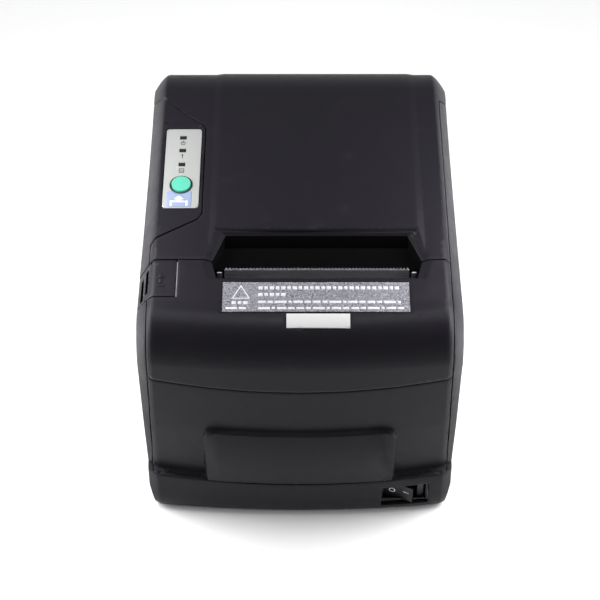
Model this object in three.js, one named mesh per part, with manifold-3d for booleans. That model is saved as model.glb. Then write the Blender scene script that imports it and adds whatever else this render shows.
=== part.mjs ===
// Receipt printer for 80 mm paper: casing, controls, print mechanism and cutter.
// Millimetres. X to the right, Y to the back, Z up, origin under the middle of the casing.
import * as THREE from "three";
import { mergeVertices } from "three/addons/utils/BufferGeometryUtils.js";
import Module from "manifold-3d";

const wasm = await Module();
wasm.setup();

// ---------------------------------------------------------------- driving dimensions
const HALF_WIDTH = 72.5; // widest line of the side walls
const FRONT = -93; // front of the base band
const REAR = 93;
const TOP = 135;
const WALL = 2.2; // casing wall
const SEAM = 0.4; // gap along a seam between two casing parts
const GAP = 0.3; // gap between touching pieces

const CREASE_TOP = 64.8; // half width where the top turns down into the shoulder
const CREASE_FOOT = 67.4; // the same line at the foot of the front
const BASE_TOP = 24.8; // height of the seam between base band and front panel
const CASE_BOTTOM = 1; // the casing clears the table by this much
const HINGE = { y: 87, z: 100, barrel: 6, pin: 2 };

const PATH_X = 7.5; // middle of the paper path
const COVER_SPLIT = -42; // seam between paper cover and cutter cover
const EXIT_FRONT = -50.8; // throat of the paper exit
const EXIT_REAR = -27.6;
const PANEL_SPLIT = { y: -88.4, z: 90 }; // foot of the cutter cover's 45 degree seam

const PLATEN = { y: -36, z: 103, radius: 6.5, shaft: 2.5, half: 40.75 };
const FRAME_LEFT = -38.5; // outer face of the left side plate
const FRAME_RIGHT = 53.5; // outer face of the right side plate
const SHEET = 1.2; // sheet steel thickness
const GEAR_X = 56.5; // start of the gear train outside the right side plate
const GEAR_WIDTH = 5;
const MODULE = 0.8; // gear module
const SILVER = { x0: -34.3, x1: 48.4, y0: -70.6, y1: -53.9 }; // plan of the foil label
const WHITE = { x0: -6.2, x1: 22.1, y0: -77.9, y1: -71 }; // plan of the white label
const LABEL_POCKET = 0.55;
const LATCH = { y: -46, z: 90, radius: 2.5 };
const CUTTER = { x: 22, y: -64, blade: 113.6, teeth: 16, wheelTeeth: 24 };
const TRAIN = { platen: 26, idler: 34, pinion: 14 }; // teeth of the paper feed gears

const LAMP_X = -55.1; // middle of the lamp column, and the lamps along Y
const LAMPS = [30.6, 22.4, 13.6];
const BUTTON = { x: -54.9, y: 1.1, radius: 4.4 }; // round feed button
const SWITCH = { x0: 39, x1: 61.6, z0: 5.8, z1: 19.6 }; // opening of the power switch
const ROCKER = { x: 47.4, y: -86.4 }; // axis of the rocker
const SCREWS = [[-62, -56], [62, -56], [-60, 78], [60, 78]];
const FEET = [[-46, -76], [46, -76], [-46, 76], [46, 76]];
const SOCKET_FLOOR = 10;
const SOCKETS = [
  { name: "power_socket", x: -48, w: 14, h: 12.4, mouth: [9.6, 9.6] },
  { name: "drawer_socket", x: -24, w: 13, h: 12, mouth: [9.8, 7.4] },
  { name: "lan_socket", x: 2, w: 16, h: 13.4, mouth: [11.8, 8] },
  { name: "usb_socket", x: 30, w: 12, h: 10.8, mouth: [8.6, 7.8] },
];
const OVERLAP = 0.01; // joined bodies run into each other by this much

// ---------------------------------------------------------------- solids
function solid(geometry) {
  geometry.deleteAttribute("normal");
  geometry.deleteAttribute("uv");
  const merged = mergeVertices(geometry, 1e-4);
  return new wasm.Manifold(new wasm.Mesh({
    numProp: 3,
    vertProperties: new Float32Array(merged.attributes.position.array),
    triVerts: new Uint32Array(merged.index.array),
  }));
}

function box(x0, x1, y0, y1, z0, z1) {
  const geometry = new THREE.BoxGeometry(x1 - x0, y1 - y0, z1 - z0);
  geometry.translate((x0 + x1) / 2, (y0 + y1) / 2, (z0 + z1) / 2);
  return solid(geometry);
}

function extruded(points, depth, curveSegments = 8) {
  const shape = points instanceof THREE.Shape
    ? points
    : new THREE.Shape(points.map(([a, b]) => new THREE.Vector2(a, b)));
  return new THREE.ExtrudeGeometry(shape, { depth, bevelEnabled: false, curveSegments });
}

// A prism along X from an outline in Y and Z.
function prismX(points, x0, x1, curveSegments) {
  const turn = new THREE.Matrix4().set(0, 0, 1, x0, 1, 0, 0, 0, 0, 1, 0, 0, 0, 0, 0, 1);
  return solid(extruded(points, x1 - x0, curveSegments).applyMatrix4(turn));
}

// A prism along Y from an outline in X and Z.
function prismY(points, y0, y1, curveSegments) {
  const turn = new THREE.Matrix4().set(1, 0, 0, 0, 0, 0, -1, y1, 0, 1, 0, 0, 0, 0, 0, 1);
  return solid(extruded(points, y1 - y0, curveSegments).applyMatrix4(turn));
}

// A prism along Z from an outline in X and Y.
function prismZ(points, z0, z1, curveSegments) {
  return solid(extruded(points, z1 - z0, curveSegments).translate(0, 0, z0));
}

function cylinder(radius, length, segments = 24, topRadius = radius) {
  return new THREE.CylinderGeometry(topRadius, radius, length, segments);
}

function rodX(x0, x1, y, z, radius, segments) {
  const geometry = cylinder(radius, x1 - x0, segments).rotateZ(-Math.PI / 2);
  return solid(geometry.translate((x0 + x1) / 2, y, z));
}

function rodZ(z0, z1, x, y, radius, segments, topRadius) {
  const geometry = cylinder(radius, z1 - z0, segments, topRadius).rotateX(Math.PI / 2);
  return solid(geometry.translate(x, y, (z0 + z1) / 2));
}

// A closed body through rings that hold the same number of points, capped at both ends.
function loft(rings, capAxes) {
  const count = rings[0].length;
  const points = rings.flat();
  const flat = (ring) => ring.map((p) => new THREE.Vector2(p[capAxes[0]], p[capAxes[1]]));
  const index = [];
  for (let start = 0; start + count < points.length; start += count) {
    for (let i = 0; i < count; i += 1) {
      const a = start + i;
      const b = start + (i + 1) % count;
      index.push(a, b, a + count, b, b + count, a + count);
    }
  }
  // the caps turn the same way as the ring, so that shared edges run in opposite directions
  const ringTurns = Math.sign(THREE.ShapeUtils.area(flat(rings[0])));
  const cap = (ring, start, way) => {
    const outline = flat(ring);
    for (const face of THREE.ShapeUtils.triangulateShape(outline.map((p) => p.clone()), [])) {
      const turns = Math.sign(THREE.ShapeUtils.area(face.map((i) => outline[i])));
      const ordered = turns * ringTurns * way > 0 ? face : face.toReversed();
      index.push(...ordered.map((i) => i + start));
    }
  };
  cap(rings[0], 0, -1);
  cap(rings.at(-1), points.length - count, 1);
  let volume = 0;
  for (let i = 0; i < index.length; i += 3) {
    const [a, b, c] = index.slice(i, i + 3).map((k) => new THREE.Vector3(...points[k]));
    volume += a.dot(b.cross(c));
  }
  const geometry = new THREE.BufferGeometry();
  geometry.setAttribute("position", new THREE.Float32BufferAttribute(points.flat(), 3));
  geometry.setIndex(volume > 0 ? index : index.toReversed());
  return solid(geometry);
}

// A prism along Z whose outline changes from the lower one to the upper one.
function taperZ(lower, z0, upper, z1) {
  const ring = (points, z) => points.map(([x, y]) => [x, y, z]);
  return loft([ring(lower, z0), ring(upper, z1)], [0, 1]);
}

// The largest of the bodies that a cut leaves, without the slivers beside it.
function mainBody(body) {
  return body.decompose().reduce((best, part) => (part.volume() > best.volume() ? part : best));
}

function union(...parts) {
  return parts.flat().reduce((whole, part) => whole.add(part));
}

function minus(whole, ...parts) {
  return parts.flat().reduce((rest, part) => rest.subtract(part), whole);
}

function roundedRect(x0, x1, y0, y1, radius) {
  const shape = new THREE.Shape();
  shape.moveTo(x0 + radius, y0);
  shape.lineTo(x1 - radius, y0);
  shape.absarc(x1 - radius, y0 + radius, radius, -Math.PI / 2, 0);
  shape.absarc(x1 - radius, y1 - radius, radius, 0, Math.PI / 2);
  shape.absarc(x0 + radius, y1 - radius, radius, Math.PI / 2, Math.PI);
  shape.absarc(x0 + radius, y0 + radius, radius, Math.PI, Math.PI * 1.5);
  return shape;
}

// ---------------------------------------------------------------- casing envelope
function arc(y, z, radius, from, to, steps) {
  return Array.from({ length: steps + 1 }, (_, i) => {
    const angle = THREE.MathUtils.degToRad(from + (to - from) * i / steps);
    return [y + radius * Math.cos(angle), z + radius * Math.sin(angle)];
  });
}

function bezier(start, control, end, steps) {
  const curve = new THREE.QuadraticBezierCurve(
    new THREE.Vector2(...start), new THREE.Vector2(...control), new THREE.Vector2(...end));
  return curve.getPoints(steps).map((p) => [p.x, p.y]);
}

// Side outline (Y, Z) of the casing in its middle, inset by a wall thickness.
function middleOutline(inset, fine) {
  const ledge = 4.2; // the front panel stands back from the base band by this much
  return [
    ...bezier([FRONT + 2.6 + inset, CASE_BOTTOM], [FRONT - 0.3 + inset, CASE_BOTTOM + 2],
      [FRONT + inset, 11], fine ? 3 : 2),
    [FRONT + 0.2 + inset, BASE_TOP],
    [FRONT + 0.2 + ledge + inset, BASE_TOP + 1.2],
    [-88.9 + inset, 60],
    ...arc(-67.9, 103.9, 20.5 - inset, 180, 97.5, fine ? 9 : 5),
    ...bezier([-66, 123.9 - inset], [-3.6, 133 - inset], [60, TOP - inset], fine ? 6 : 3),
    ...arc(REAR - 30, TOP - 30, 30 - inset, 88, 0, fine ? 9 : 5),
    [REAR - inset, CASE_BOTTOM],
  ];
}

// Side outline of the casing at its widest line, with the same number of points.
function outerOutline(inset, fine) {
  const inward = 2.9; // the shoulder falls back by this much at the base
  return [
    ...bezier([FRONT + inward + 2.6 + inset, CASE_BOTTOM], [FRONT + inward - 0.3 + inset, CASE_BOTTOM + 2],
      [FRONT + inward + inset, 11], fine ? 3 : 2),
    [FRONT + 3.6 + inset, BASE_TOP],
    [FRONT + 6.6 + inset, BASE_TOP + 1.2],
    [-86 + inset, 56],
    ...arc(-63, 93.8, 20.3 - inset, 180, 92, fine ? 9 : 5),
    ...bezier([-61, 114.2 - inset], [52, 113.4 - inset], [73, 119.4 - inset], fine ? 6 : 3),
    ...arc(75, 105.5, 14 - inset, 90, 0, fine ? 9 : 5),
    [89 - inset, CASE_BOTTOM],
  ];
}

// The front bows forward towards the middle, less at the foot, and the bow fades out over the top.
function bow(x, y, z) {
  const radius = 370 + 2.1 * Math.max(z - BASE_TOP, 0) + 11 * Math.max(BASE_TOP - z, 0);
  const share = THREE.MathUtils.clamp((-40 - y) / 35, 0, 1);
  return share * x * x / (2 * radius);
}

function creaseAt(z) {
  const share = THREE.MathUtils.clamp((115 - z) / 90, 0, 1);
  return CREASE_TOP + (CREASE_FOOT - CREASE_TOP) * share;
}

// The whole outside of the printer as one body, inset by a wall thickness.
function casing(inset, fine = true) {
  const middle = middleOutline(inset, fine);
  const outer = outerOutline(inset, fine);
  const shoulder = fine ? [1, 0.8, 0.5, 0.22, 0.07] : [1, 0.55];
  const across = fine ? 6 : 3;
  const ring = (side, share) => middle.map(([y, z], i) => {
    const drop = Math.pow(share, 1.4);
    const wide = creaseAt(z) + (HALF_WIDTH - creaseAt(z)) * share - inset * (0.5 + 0.5 * share);
    const x = side * wide;
    const yy = y + (outer[i][0] - y) * drop;
    const zz = z + (outer[i][1] - z) * drop;
    return [x, yy + bow(x, yy, zz), zz];
  });
  const rings = shoulder.map((share) => ring(-1, share));
  for (let i = 0; i <= across; i += 1) {
    rings.push(ring(-1 + 2 * i / across, 0));
  }
  rings.push(...shoulder.reverse().map((share) => ring(1, share)));
  return loft(rings, [1, 2]);
}

const SHELL = casing(0).subtract(casing(WALL, false).add(
  box(-HALF_WIDTH + WALL, HALF_WIDTH - WALL, -85, REAR - WALL, -1, 8)));

// ---------------------------------------------------------------- seams
// Outline in X and Z of what lies between the two long case seams.
function betweenCaseSeams(gap) {
  const top = 67.5 - gap;
  const foot = 70.1 - gap;
  return [[-foot, -20], [foot, -20], [foot, 26], [top, 112],
    [top, 150], [-top, 150], [-top, 112], [-foot, 26]];
}

// Above the line that runs from the top down to the hinge, at the sides.
function rearLid(gap) {
  return [[56.5 + gap, 134.6], [56.5 + gap, 160], [120, 160], [120, 93.6 + gap],
    [HINGE.y, 93.6 + gap], [82.6 + gap, 104.4]];
}

// Above the 45 degree seam at the foot of the cutter cover.
function abovePanelSeam(gap) {
  const foot = [PANEL_SPLIT.y - 20, PANEL_SPLIT.z - 20 + gap];
  const end = -65.6; // behind this line only the top belongs to the cutter cover
  return [foot, [end, foot[1] + end - foot[0]], [end, 100], [COVER_SPLIT, 100], [COVER_SPLIT, 160],
    [foot[0], 160]];
}

// Plan outline of the control island, grown by a gap.
function island(gap) {
  const shape = new THREE.Shape();
  shape.moveTo(-80, -38 - gap);
  shape.lineTo(-65, -29.6 - gap);
  shape.lineTo(-46.6, -18.9 - gap);
  shape.lineTo(-44.8 + gap, -15.4);
  shape.lineTo(-44.9 + gap, 36.8);
  shape.lineTo(-46.8 + gap, 39.6 + gap);
  shape.quadraticCurveTo(-57, 46 + gap, -64.9, 57.4 + gap);
  shape.lineTo(-80, 79 + gap);
  return shape;
}

// Mouth of the paper exit in plan: half widths and places along Y.
function exitMouth(grow, front, rear) {
  const half = [44.6 + grow, 47 + grow * 1.1, 41 + grow];
  return [
    [PATH_X - half[0], front], [PATH_X + half[0], front],
    [PATH_X + half[1], COVER_SPLIT], [PATH_X + half[2], rear],
    [PATH_X - half[2], rear], [PATH_X - half[1], COVER_SPLIT],
  ];
}

// The cut of the paper exit: a mouth with a chamfer that follows the top, over a straight throat.
function exitCut() {
  const chamfer = { deep: 1.8, wide: 4, front: 2.3, rear: 2 };
  const topAt = (y) => 126.2 + (y - EXIT_FRONT) * 0.132;
  const ring = (points, lift) => points.map(([x, y]) => [x, y, topAt(y) + lift]);
  const inner = exitMouth(0, EXIT_FRONT, EXIT_REAR);
  const outer = exitMouth(2 * chamfer.wide, EXIT_FRONT - 2 * chamfer.front, EXIT_REAR + 2 * chamfer.rear);
  const mouth = loft([ring(inner, -chamfer.deep), ring(outer, chamfer.deep)], [0, 1]);
  return mouth.add(prismZ(inner, 100, topAt(EXIT_FRONT) - chamfer.deep + OVERLAP))
    .add(loft([inner.map(([x, y]) => [x, y, 110]), ring(inner, -chamfer.deep + OVERLAP)], [0, 1]));
}

function openButtonPlan(gap) {
  return [-80, -54.8 + gap, -61.3 - gap, COVER_SPLIT - 0.3 + gap];
}

// ---------------------------------------------------------------- casing parts
function screwPost(x, y, z0, z1) {
  return rodZ(z0, z1, x, y, 4, 16).subtract(rodZ(z0 - 1, z0 + 9, x, y, 1.5, 12));
}

function makeLowerCase() {
  const below = box(-90, 90, -110, 110, -5, BASE_TOP);
  const rearWall = box(-90, 90, 80, 110, 0, 93.4);
  const sides = box(-90, 90, -110, 110, 0, 200)
    .subtract(prismY(betweenCaseSeams(0), -120, 120))
    .subtract(prismX(rearLid(-SEAM), -90, 90))
    .subtract(rodX(-90, 90, HINGE.y, HINGE.z, HINGE.barrel + SEAM, 32));
  const islandBlock = prismZ(island(0), 100, 200)
    .subtract(prismX(rearLid(-SEAM), -90, 90));
  let body = SHELL.intersect(union(below, rearWall, sides, islandBlock));
  // the base narrows towards the table
  for (const side of [-1, 1]) {
    body = body.subtract(prismY(
      [[side * 74, -1], [side * 74, 15], [side * HALF_WIDTH, 14.4], [side * 69.4, -1]], -120, 120));
  }
  const posts = SCREWS.map(([x, y]) => screwPost(x, y, 3.6, 20));
  const ribs = SCREWS.map(([x, y]) => box(
    Math.min(x, Math.sign(x) * 71), Math.max(x, Math.sign(x) * 71), y - 1, y + 1, 12.6, 20));
  body = union(body, posts, ribs);
  body = minus(body, SCREWS.map(([x, y]) => rodZ(3, 12.6, x, y, 1.5, 12)));
  const knuckles = [-1, 1].map((side) => {
    const x0 = side < 0 ? -64.6 : 58.6;
    const outline = [[81.6, 74], [88, 70], [91, 66], [91, 74], [88, 78], [88, 97], [82, 97]];
    const web = prismX(outline, x0, x0 + 6);
    return rodX(x0, x0 + 6, HINGE.y, HINGE.z, HINGE.barrel - 0.4, 24).add(web)
      .subtract(rodX(x0 - 1, x0 + 7, HINGE.y, HINGE.z, HINGE.pin + GAP, 20));
  });
  body = union(body, knuckles);
  // pocket and holes of the status label
  const pocket = prismZ(roundedRect(-63.5, -46.1, -13.1, 36.6, 1.6), 100, 160).subtract(casing(1.1));
  body = body.subtract(pocket);
  body = minus(body, LAMPS.map((y) => box(LAMP_X - 1.6, LAMP_X + 1.6, y - 1.2, y + 1.2, 100, 160)));
  body = body.subtract(rodZ(100, 160, BUTTON.x, BUTTON.y, BUTTON.radius + 0.9, 32));
  const boardPosts = [[-61.6, 34.6], [-48.4, -7.6]].map(([x, y]) =>
    rodZ(120.8 + GAP, 134, x, y, 1.5, 12).intersect(casing(1.4)));
  body = union(body, boardPosts);
  // open button slot, switch opening, sockets in the rear wall
  const [bx0, bx1, by0, by1] = openButtonPlan(SEAM);
  body = body.subtract(box(bx0, bx1, by0, by1, 100, 160));
  body = body.subtract(box(SWITCH.x0, SWITCH.x1, -110, -80, SWITCH.z0, SWITCH.z1));
  body = minus(body, SOCKETS.map((s) => box(s.x - s.w / 2 - 0.4, s.x + s.w / 2 + 0.4, 85, 100,
    SOCKET_FLOOR - 0.4, SOCKET_FLOOR + s.h + 0.4)));
  return body;
}

function makeFrontPanel() {
  const back = -66;
  const rise = PANEL_SPLIT.z - PANEL_SPLIT.y - SEAM;
  const region = prismX([[-120, BASE_TOP + SEAM], [back, BASE_TOP + SEAM], [back, rise + back],
    [-94, rise - 94], [-120, rise - 94]], -90, 90);
  const panel = SHELL.intersect(region).intersect(prismY(betweenCaseSeams(SEAM), -120, 120));
  const half = 44.6;
  const bevel = 1.8;
  const outline = (inset, drop) => {
    const top = 61.6 - drop;
    const wide = half - inset;
    const round = 5;
    return [[-wide, BASE_TOP + SEAM], [wide, BASE_TOP + SEAM], [wide, top - round],
      [wide - 0.3 * round, top - 0.3 * round], [wide - round, top],
      [-wide + round, top], [-wide + 0.3 * round, top - 0.3 * round], [-wide, top - round]];
  };
  const ring = (points, y) => points.map(([x, z]) => [x, y, z]);
  const foot = outline(0, 0);
  const rim = outline(bevel, 0.9);
  const pad = loft([ring(foot, -83), ring(foot, -88.2), ring(rim, -92)].reverse(), [0, 2]);
  const stack = loft([ring(rim, -91.9), ring(rim, -99)].reverse(), [0, 2]);
  const face = bossEnvelope();
  const boss = pad.add(stack).intersect(face).subtract(casing(WALL - 0.6));
  return mainBody(panel.add(boss));
}

// The boss has its own, slightly prouder front face with the same bow.
function bossEnvelope() {
  const rings = [];
  const steps = 10;
  for (let i = 0; i <= steps; i += 1) {
    const x = -46 + 92 * i / steps;
    const bowed = (y, z) => [x, y + bow(x, -93, z), z];
    rings.push([bowed(-92.8, 20), bowed(-91.2, 66), [x, -78, 66], [x, -78, 20]].reverse());
  }
  return loft(rings.reverse(), [1, 2]);
}

function makeCutterCover() {
  const region = prismX(abovePanelSeam(SEAM / 2), -90, 90)
    .intersect(box(-90, 90, -120, COVER_SPLIT - SEAM / 2, 60, 160));
  let cover = SHELL.intersect(region).intersect(prismY(betweenCaseSeams(SEAM), -120, 120));
  // walls round the mouth of the paper exit
  const wallBox = box(PATH_X - 54, PATH_X + 54, -58, COVER_SPLIT - SEAM / 2, 120.4, 131);
  const outerWall = prismZ(exitMouth(3.2, EXIT_FRONT - 2, EXIT_REAR), 120.4, 131);
  cover = cover.add(wallBox.intersect(outerWall).intersect(casing(0.5)));
  cover = cover.subtract(exitCut());
  const [bx0, bx1, by0, by1] = openButtonPlan(SEAM);
  cover = cover.subtract(box(bx0, bx1, by0, by1, 90, 160));
  const runners = [-61, 62].map((x) => box(x, x + 2, -84, -64, 96, 123).intersect(casing(WALL - 0.6)));
  cover = union(cover, runners.map((runner) => runner.intersect(prismX(abovePanelSeam(1), -90, 90))));
  const pockets = [SILVER, WHITE].map((area) => above(area, 0).subtract(casing(LABEL_POCKET)));
  return mainBody(minus(cover, pockets));
}

// What stands above a plan rectangle, grown by a gap.
function above({ x0, x1, y0, y1 }, grow) {
  return box(x0 - grow, x1 + grow, y0 - grow, y1 + grow, 100, 160);
}

function makePaperCover() {
  const topRegion = box(-90, 90, COVER_SPLIT + SEAM / 2, 120, 93.8, 160)
    .intersect(prismY(betweenCaseSeams(SEAM), -120, 120));
  const lid = prismX(rearLid(0), -90, 90);
  let cover = SHELL.intersect(topRegion.subtract(box(-90, 90, 84, 120, 0, HINGE.z)).add(lid));
  cover = cover.add(plateauSkin());
  // wall and floor behind the paper slot
  const ramp = prismX([[-26.2, 127.4], [-27.7, 127.4], [-29.4, 120.8], [-41.2, 119], [-41.2, 117.4],
    [-28.4, 118.8], [-26.2, 121.4]], PATH_X - 52, PATH_X + 52);
  cover = cover.subtract(exitCut());
  cover = cover.add(ramp.intersect(prismZ(exitMouth(1.2, EXIT_FRONT, EXIT_REAR + 1.6), 100, 160)));
  const cheeks = [-1, 1].map((side) => minus(
    prismZ(exitMouth(2.2, EXIT_FRONT, EXIT_REAR + 2), 116, 131)
      .intersect(box(-90, 90, COVER_SPLIT + SEAM / 2, EXIT_REAR + 1, 116, 131)).intersect(casing(0.5)),
    prismZ(exitMouth(0, EXIT_FRONT, EXIT_REAR), 100, 140), exitCut(),
    side < 0 ? box(PATH_X, 90, -60, 0, 100, 140) : box(-90, PATH_X, -60, 0, 100, 140)));
  cover = union(cover, cheeks);
  // notch for the control island, wider below so that the lid can swing
  const wide = island(SEAM).getPoints(8).map((p) => [p.x, p.y]);
  const grown = wide.map(([x, y]) => [x, y < 10 ? y - 1.6 : y]);
  cover = cover.subtract(taperZ(grown, 112, wide, 136));
  // under the hinge the lid keeps to the barrel's radius, so that it rolls past the rear wall
  const under = box(-90, 90, 78, 120, 80, HINGE.z)
    .subtract(rodX(-91, 91, HINGE.y, HINGE.z, HINGE.barrel, 32));
  cover = cover.subtract(under);
  // barrel of the hinge between the knuckles
  const barrel = rodX(-58.2, 58.2, HINGE.y, HINGE.z, HINGE.barrel, 32);
  const cheekPivot = [[-71.8, -65], [65, 71.8]].map(([x0, x1]) =>
    rodX(x0, x1, HINGE.y, HINGE.z, HINGE.barrel, 24).intersect(casing(0)));
  cover = union(cover, barrel, cheekPivot);
  const knuckleRoom = [[-65, -58.2], [58.2, 65]].map(([x0, x1]) =>
    rodX(x0, x1, HINGE.y, HINGE.z, HINGE.barrel + SEAM, 24));
  cover = minus(cover, knuckleRoom, rodX(-65, 65, HINGE.y, HINGE.z, HINGE.pin + GAP, 20));
  // mounting ribs for the platen bracket
  const ribs = [-30, 45].map((x) => box(x, x + 2, -26, -10, 116.4, 132).intersect(casing(1)));
  return mainBody(union(cover, ribs));
}

// A skin that stands on the top between the sloping sides.
function plateauSkin() {
  const proud = 1.7;
  const middle = middleOutline(0, true).filter(([, z]) => z > 102);
  const lifted = (lift) => [...middle.map(([y, z]) => {
    const rear = Math.max(y - 63, 0) / 30;
    return [y + lift * rear, z + lift * (1 - rear)];
  }), [80, 102], [-40, 100]];
  const ring = (x, lift) => lifted(lift).map(([y, z]) => [x, y, z]);
  const half = [51.4, 45.6];
  const body = loft([ring(PATH_X - half[0], -0.6), ring(PATH_X - half[1], proud - 1),
    ring(PATH_X + half[1], proud - 1), ring(PATH_X + half[0], -0.6)], [1, 2]);
  return body.subtract(casing(1)).intersect(box(-90, 90, COVER_SPLIT + SEAM / 2, 92.9, 104, 140));
}

// ---------------------------------------------------------------- bottom
function makeBottomPlate() {
  const outline = new THREE.Shape();
  outline.moveTo(-67, -80);
  outline.quadraticCurveTo(0, -94, 67, -80);
  outline.lineTo(67, 88);
  outline.lineTo(-67, 88);
  let plate = prismZ(outline, 1.9, 3.2, 10);
  plate = minus(plate, SCREWS.map(([x, y]) => rodZ(0, 5, x, y, 1.8, 16)));
  const vents = [];
  for (let row = 0; row < 3; row += 1) {
    for (const x of [-30, 0, 30]) {
      vents.push(box(x - 10, x + 10, -30 + row * 8, -27 + row * 8, 0, 5));
    }
  }
  return minus(plate, vents);
}

function makeScrew(x, y) {
  const head = rodZ(0.2, 1.6, x, y, 3.4, 20, 3.1);
  const shank = rodZ(1.5, 11, x, y, 1.2, 12);
  const cross = [[1.9, 0.35], [0.35, 1.9]].map(([a, b]) => box(x - a, x + a, y - b, y + b, 0, 1));
  return minus(head.add(shank), cross);
}

function makeFoot(x, y) {
  const profile = [[0, 0], [5.4, 0], [6, 0.6], [6, 1.6], [0, 1.6]].map(([r, z]) => new THREE.Vector2(r, z));
  const lathe = new THREE.LatheGeometry(profile, 28).rotateX(Math.PI / 2);
  return solid(lathe).translate(x, y, 0);
}

// ---------------------------------------------------------------- control island
// A skin of the upper casing between two depths below its face.
function layer(outside, inside) {
  return casing(outside).subtract(casing(inside)).intersect(box(-90, 90, -110, 95, 60, 160));
}

function makePanelLabel() {
  const plate = prismZ(roundedRect(-63.1, -46.5, -12.7, 36.2, 1.4), 100, 160).intersect(layer(0.3, 0.8));
  return minus(plate,
    LAMPS.map((y) => box(LAMP_X - 1.6, LAMP_X + 1.6, y - 1.2, y + 1.2, 100, 160)),
    rodZ(100, 160, BUTTON.x, BUTTON.y, BUTTON.radius + 0.4, 32));
}

function makeLamp(y) {
  return box(LAMP_X - 1.3, LAMP_X + 1.3, y - 0.9, y + 0.9, 127, 140).intersect(casing(0.25));
}

function makeFeedButton() {
  const cap = rodZ(126, 140, BUTTON.x, BUTTON.y, BUTTON.radius, 32).intersect(casing(-0.5));
  return cap.add(rodZ(124.4, 126.1, BUTTON.x, BUTTON.y, 1.5, 16));
}

function makePanelBoard() {
  const board = box(-63.5, -46.5, -10, 37, 119.2, 120.8).subtract(rodZ(118, 122, -62, 34.5, 1.1, 10));
  const light = { halfWide: 1, halfLong: 0.8, foot: 120.7, top: 126 };
  return union(board, LAMPS.map((y) => box(LAMP_X - light.halfWide, LAMP_X + light.halfWide,
    y - light.halfLong, y + light.halfLong, light.foot, light.top)));
}

function makeFeedSwitch() {
  const { x, y } = BUTTON;
  return box(x - 3, x + 3, y - 3, y + 3, 121.1, 122.6).add(rodZ(122.5, 123.1, x, y, 1.5, 16));
}

// ---------------------------------------------------------------- open button
function makeOpenButton() {
  const [x0, x1, y0, y1] = openButtonPlan(0);
  let cap = casing(0.1).subtract(casing(WALL, false)).intersect(box(x0, x1, y0, y1, 104.4, 160));
  const skirt = box(-70, -68.4, y0 + 1, y1 - 1, 97, 112)
    .add(box(-71.6, -68.4, y0 + 1, y1 - 1, 106, 112));
  cap = cap.add(skirt.intersect(casing(1)));
  // finger grooves along the shoulder
  const groove = (x, shift) => box(x - 0.7, x + 0.7, y0 + 2 + shift, y1 - 4.4 + shift, 90, 160)
    .subtract(casing(1.2));
  cap = minus(cap, groove(-67.9, 1.8), groove(-70.2, 0));
  const stem = box(-58, -54.9, -61.2, -59.6, 91.4 + GAP, 125).intersect(casing(1));
  const post = rodZ(112, 125, -62, -52, 1.6, 16).intersect(casing(1));
  return union(cap, stem, post);
}

function makeCoil(x, y, z0, z1, radius, wire, turns) {
  class Helix extends THREE.Curve {
    getPoint(t, target = new THREE.Vector3()) {
      const angle = t * turns * 2 * Math.PI;
      return target.set(x + radius * Math.cos(angle), y + radius * Math.sin(angle), z0 + (z1 - z0) * t);
    }
  }
  const section = new THREE.Shape();
  section.absarc(0, 0, wire, 0, Math.PI * 2);
  const steps = turns * 8;
  return solid(new THREE.ExtrudeGeometry(section, {
    steps, extrudePath: new Helix(), bevelEnabled: false, curveSegments: 3,
  }));
}

// ---------------------------------------------------------------- gears
function gear(teeth, x0, x1, y, z, phase, bore) {
  const pitch = MODULE * teeth / 2;
  const root = pitch - 1.15 * MODULE;
  const tip = pitch + 0.8 * MODULE;
  const step = 2 * Math.PI / teeth;
  const points = [];
  for (let i = 0; i < teeth; i += 1) {
    const centre = phase + i * step;
    const corners = [[root, -0.33], [tip, -0.13], [tip, 0.13], [root, 0.33]];
    for (const [radius, share] of corners) {
      const angle = centre + share * step;
      points.push([y + radius * Math.cos(angle), z + radius * Math.sin(angle)]);
    }
  }
  return prismX(points, x0, x1).subtract(rodX(x0 - 1, x1 + 1, y, z, bore, 20));
}

// Phase of a gear that meshes with another one whose phase is known.
function meshPhase(teeth, phase, nextTeeth, direction) {
  const gapAngle = phase + Math.PI / teeth;
  return direction + Math.PI - (gapAngle - direction) * teeth / nextTeeth;
}

const centreDistance = (a, b) => MODULE * (a + b) / 2 + 0.12;
const DOWN = -Math.PI / 2;
const FORWARD_DOWN = THREE.MathUtils.degToRad(-135);
const IDLER = { y: PLATEN.y, z: PLATEN.z - centreDistance(TRAIN.platen, TRAIN.idler) };
const MOTOR = {
  y: IDLER.y + Math.cos(FORWARD_DOWN) * centreDistance(TRAIN.idler, TRAIN.pinion),
  z: IDLER.z + Math.sin(FORWARD_DOWN) * centreDistance(TRAIN.idler, TRAIN.pinion),
};
const IDLER_PHASE = meshPhase(TRAIN.platen, DOWN, TRAIN.idler, DOWN);
const PINION_PHASE = meshPhase(TRAIN.idler, IDLER_PHASE, TRAIN.pinion, FORWARD_DOWN);

function makeGear(teeth, place, phase, bore) {
  return gear(teeth, GEAR_X, GEAR_X + GEAR_WIDTH, place.y, place.z, phase, bore);
}

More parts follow.
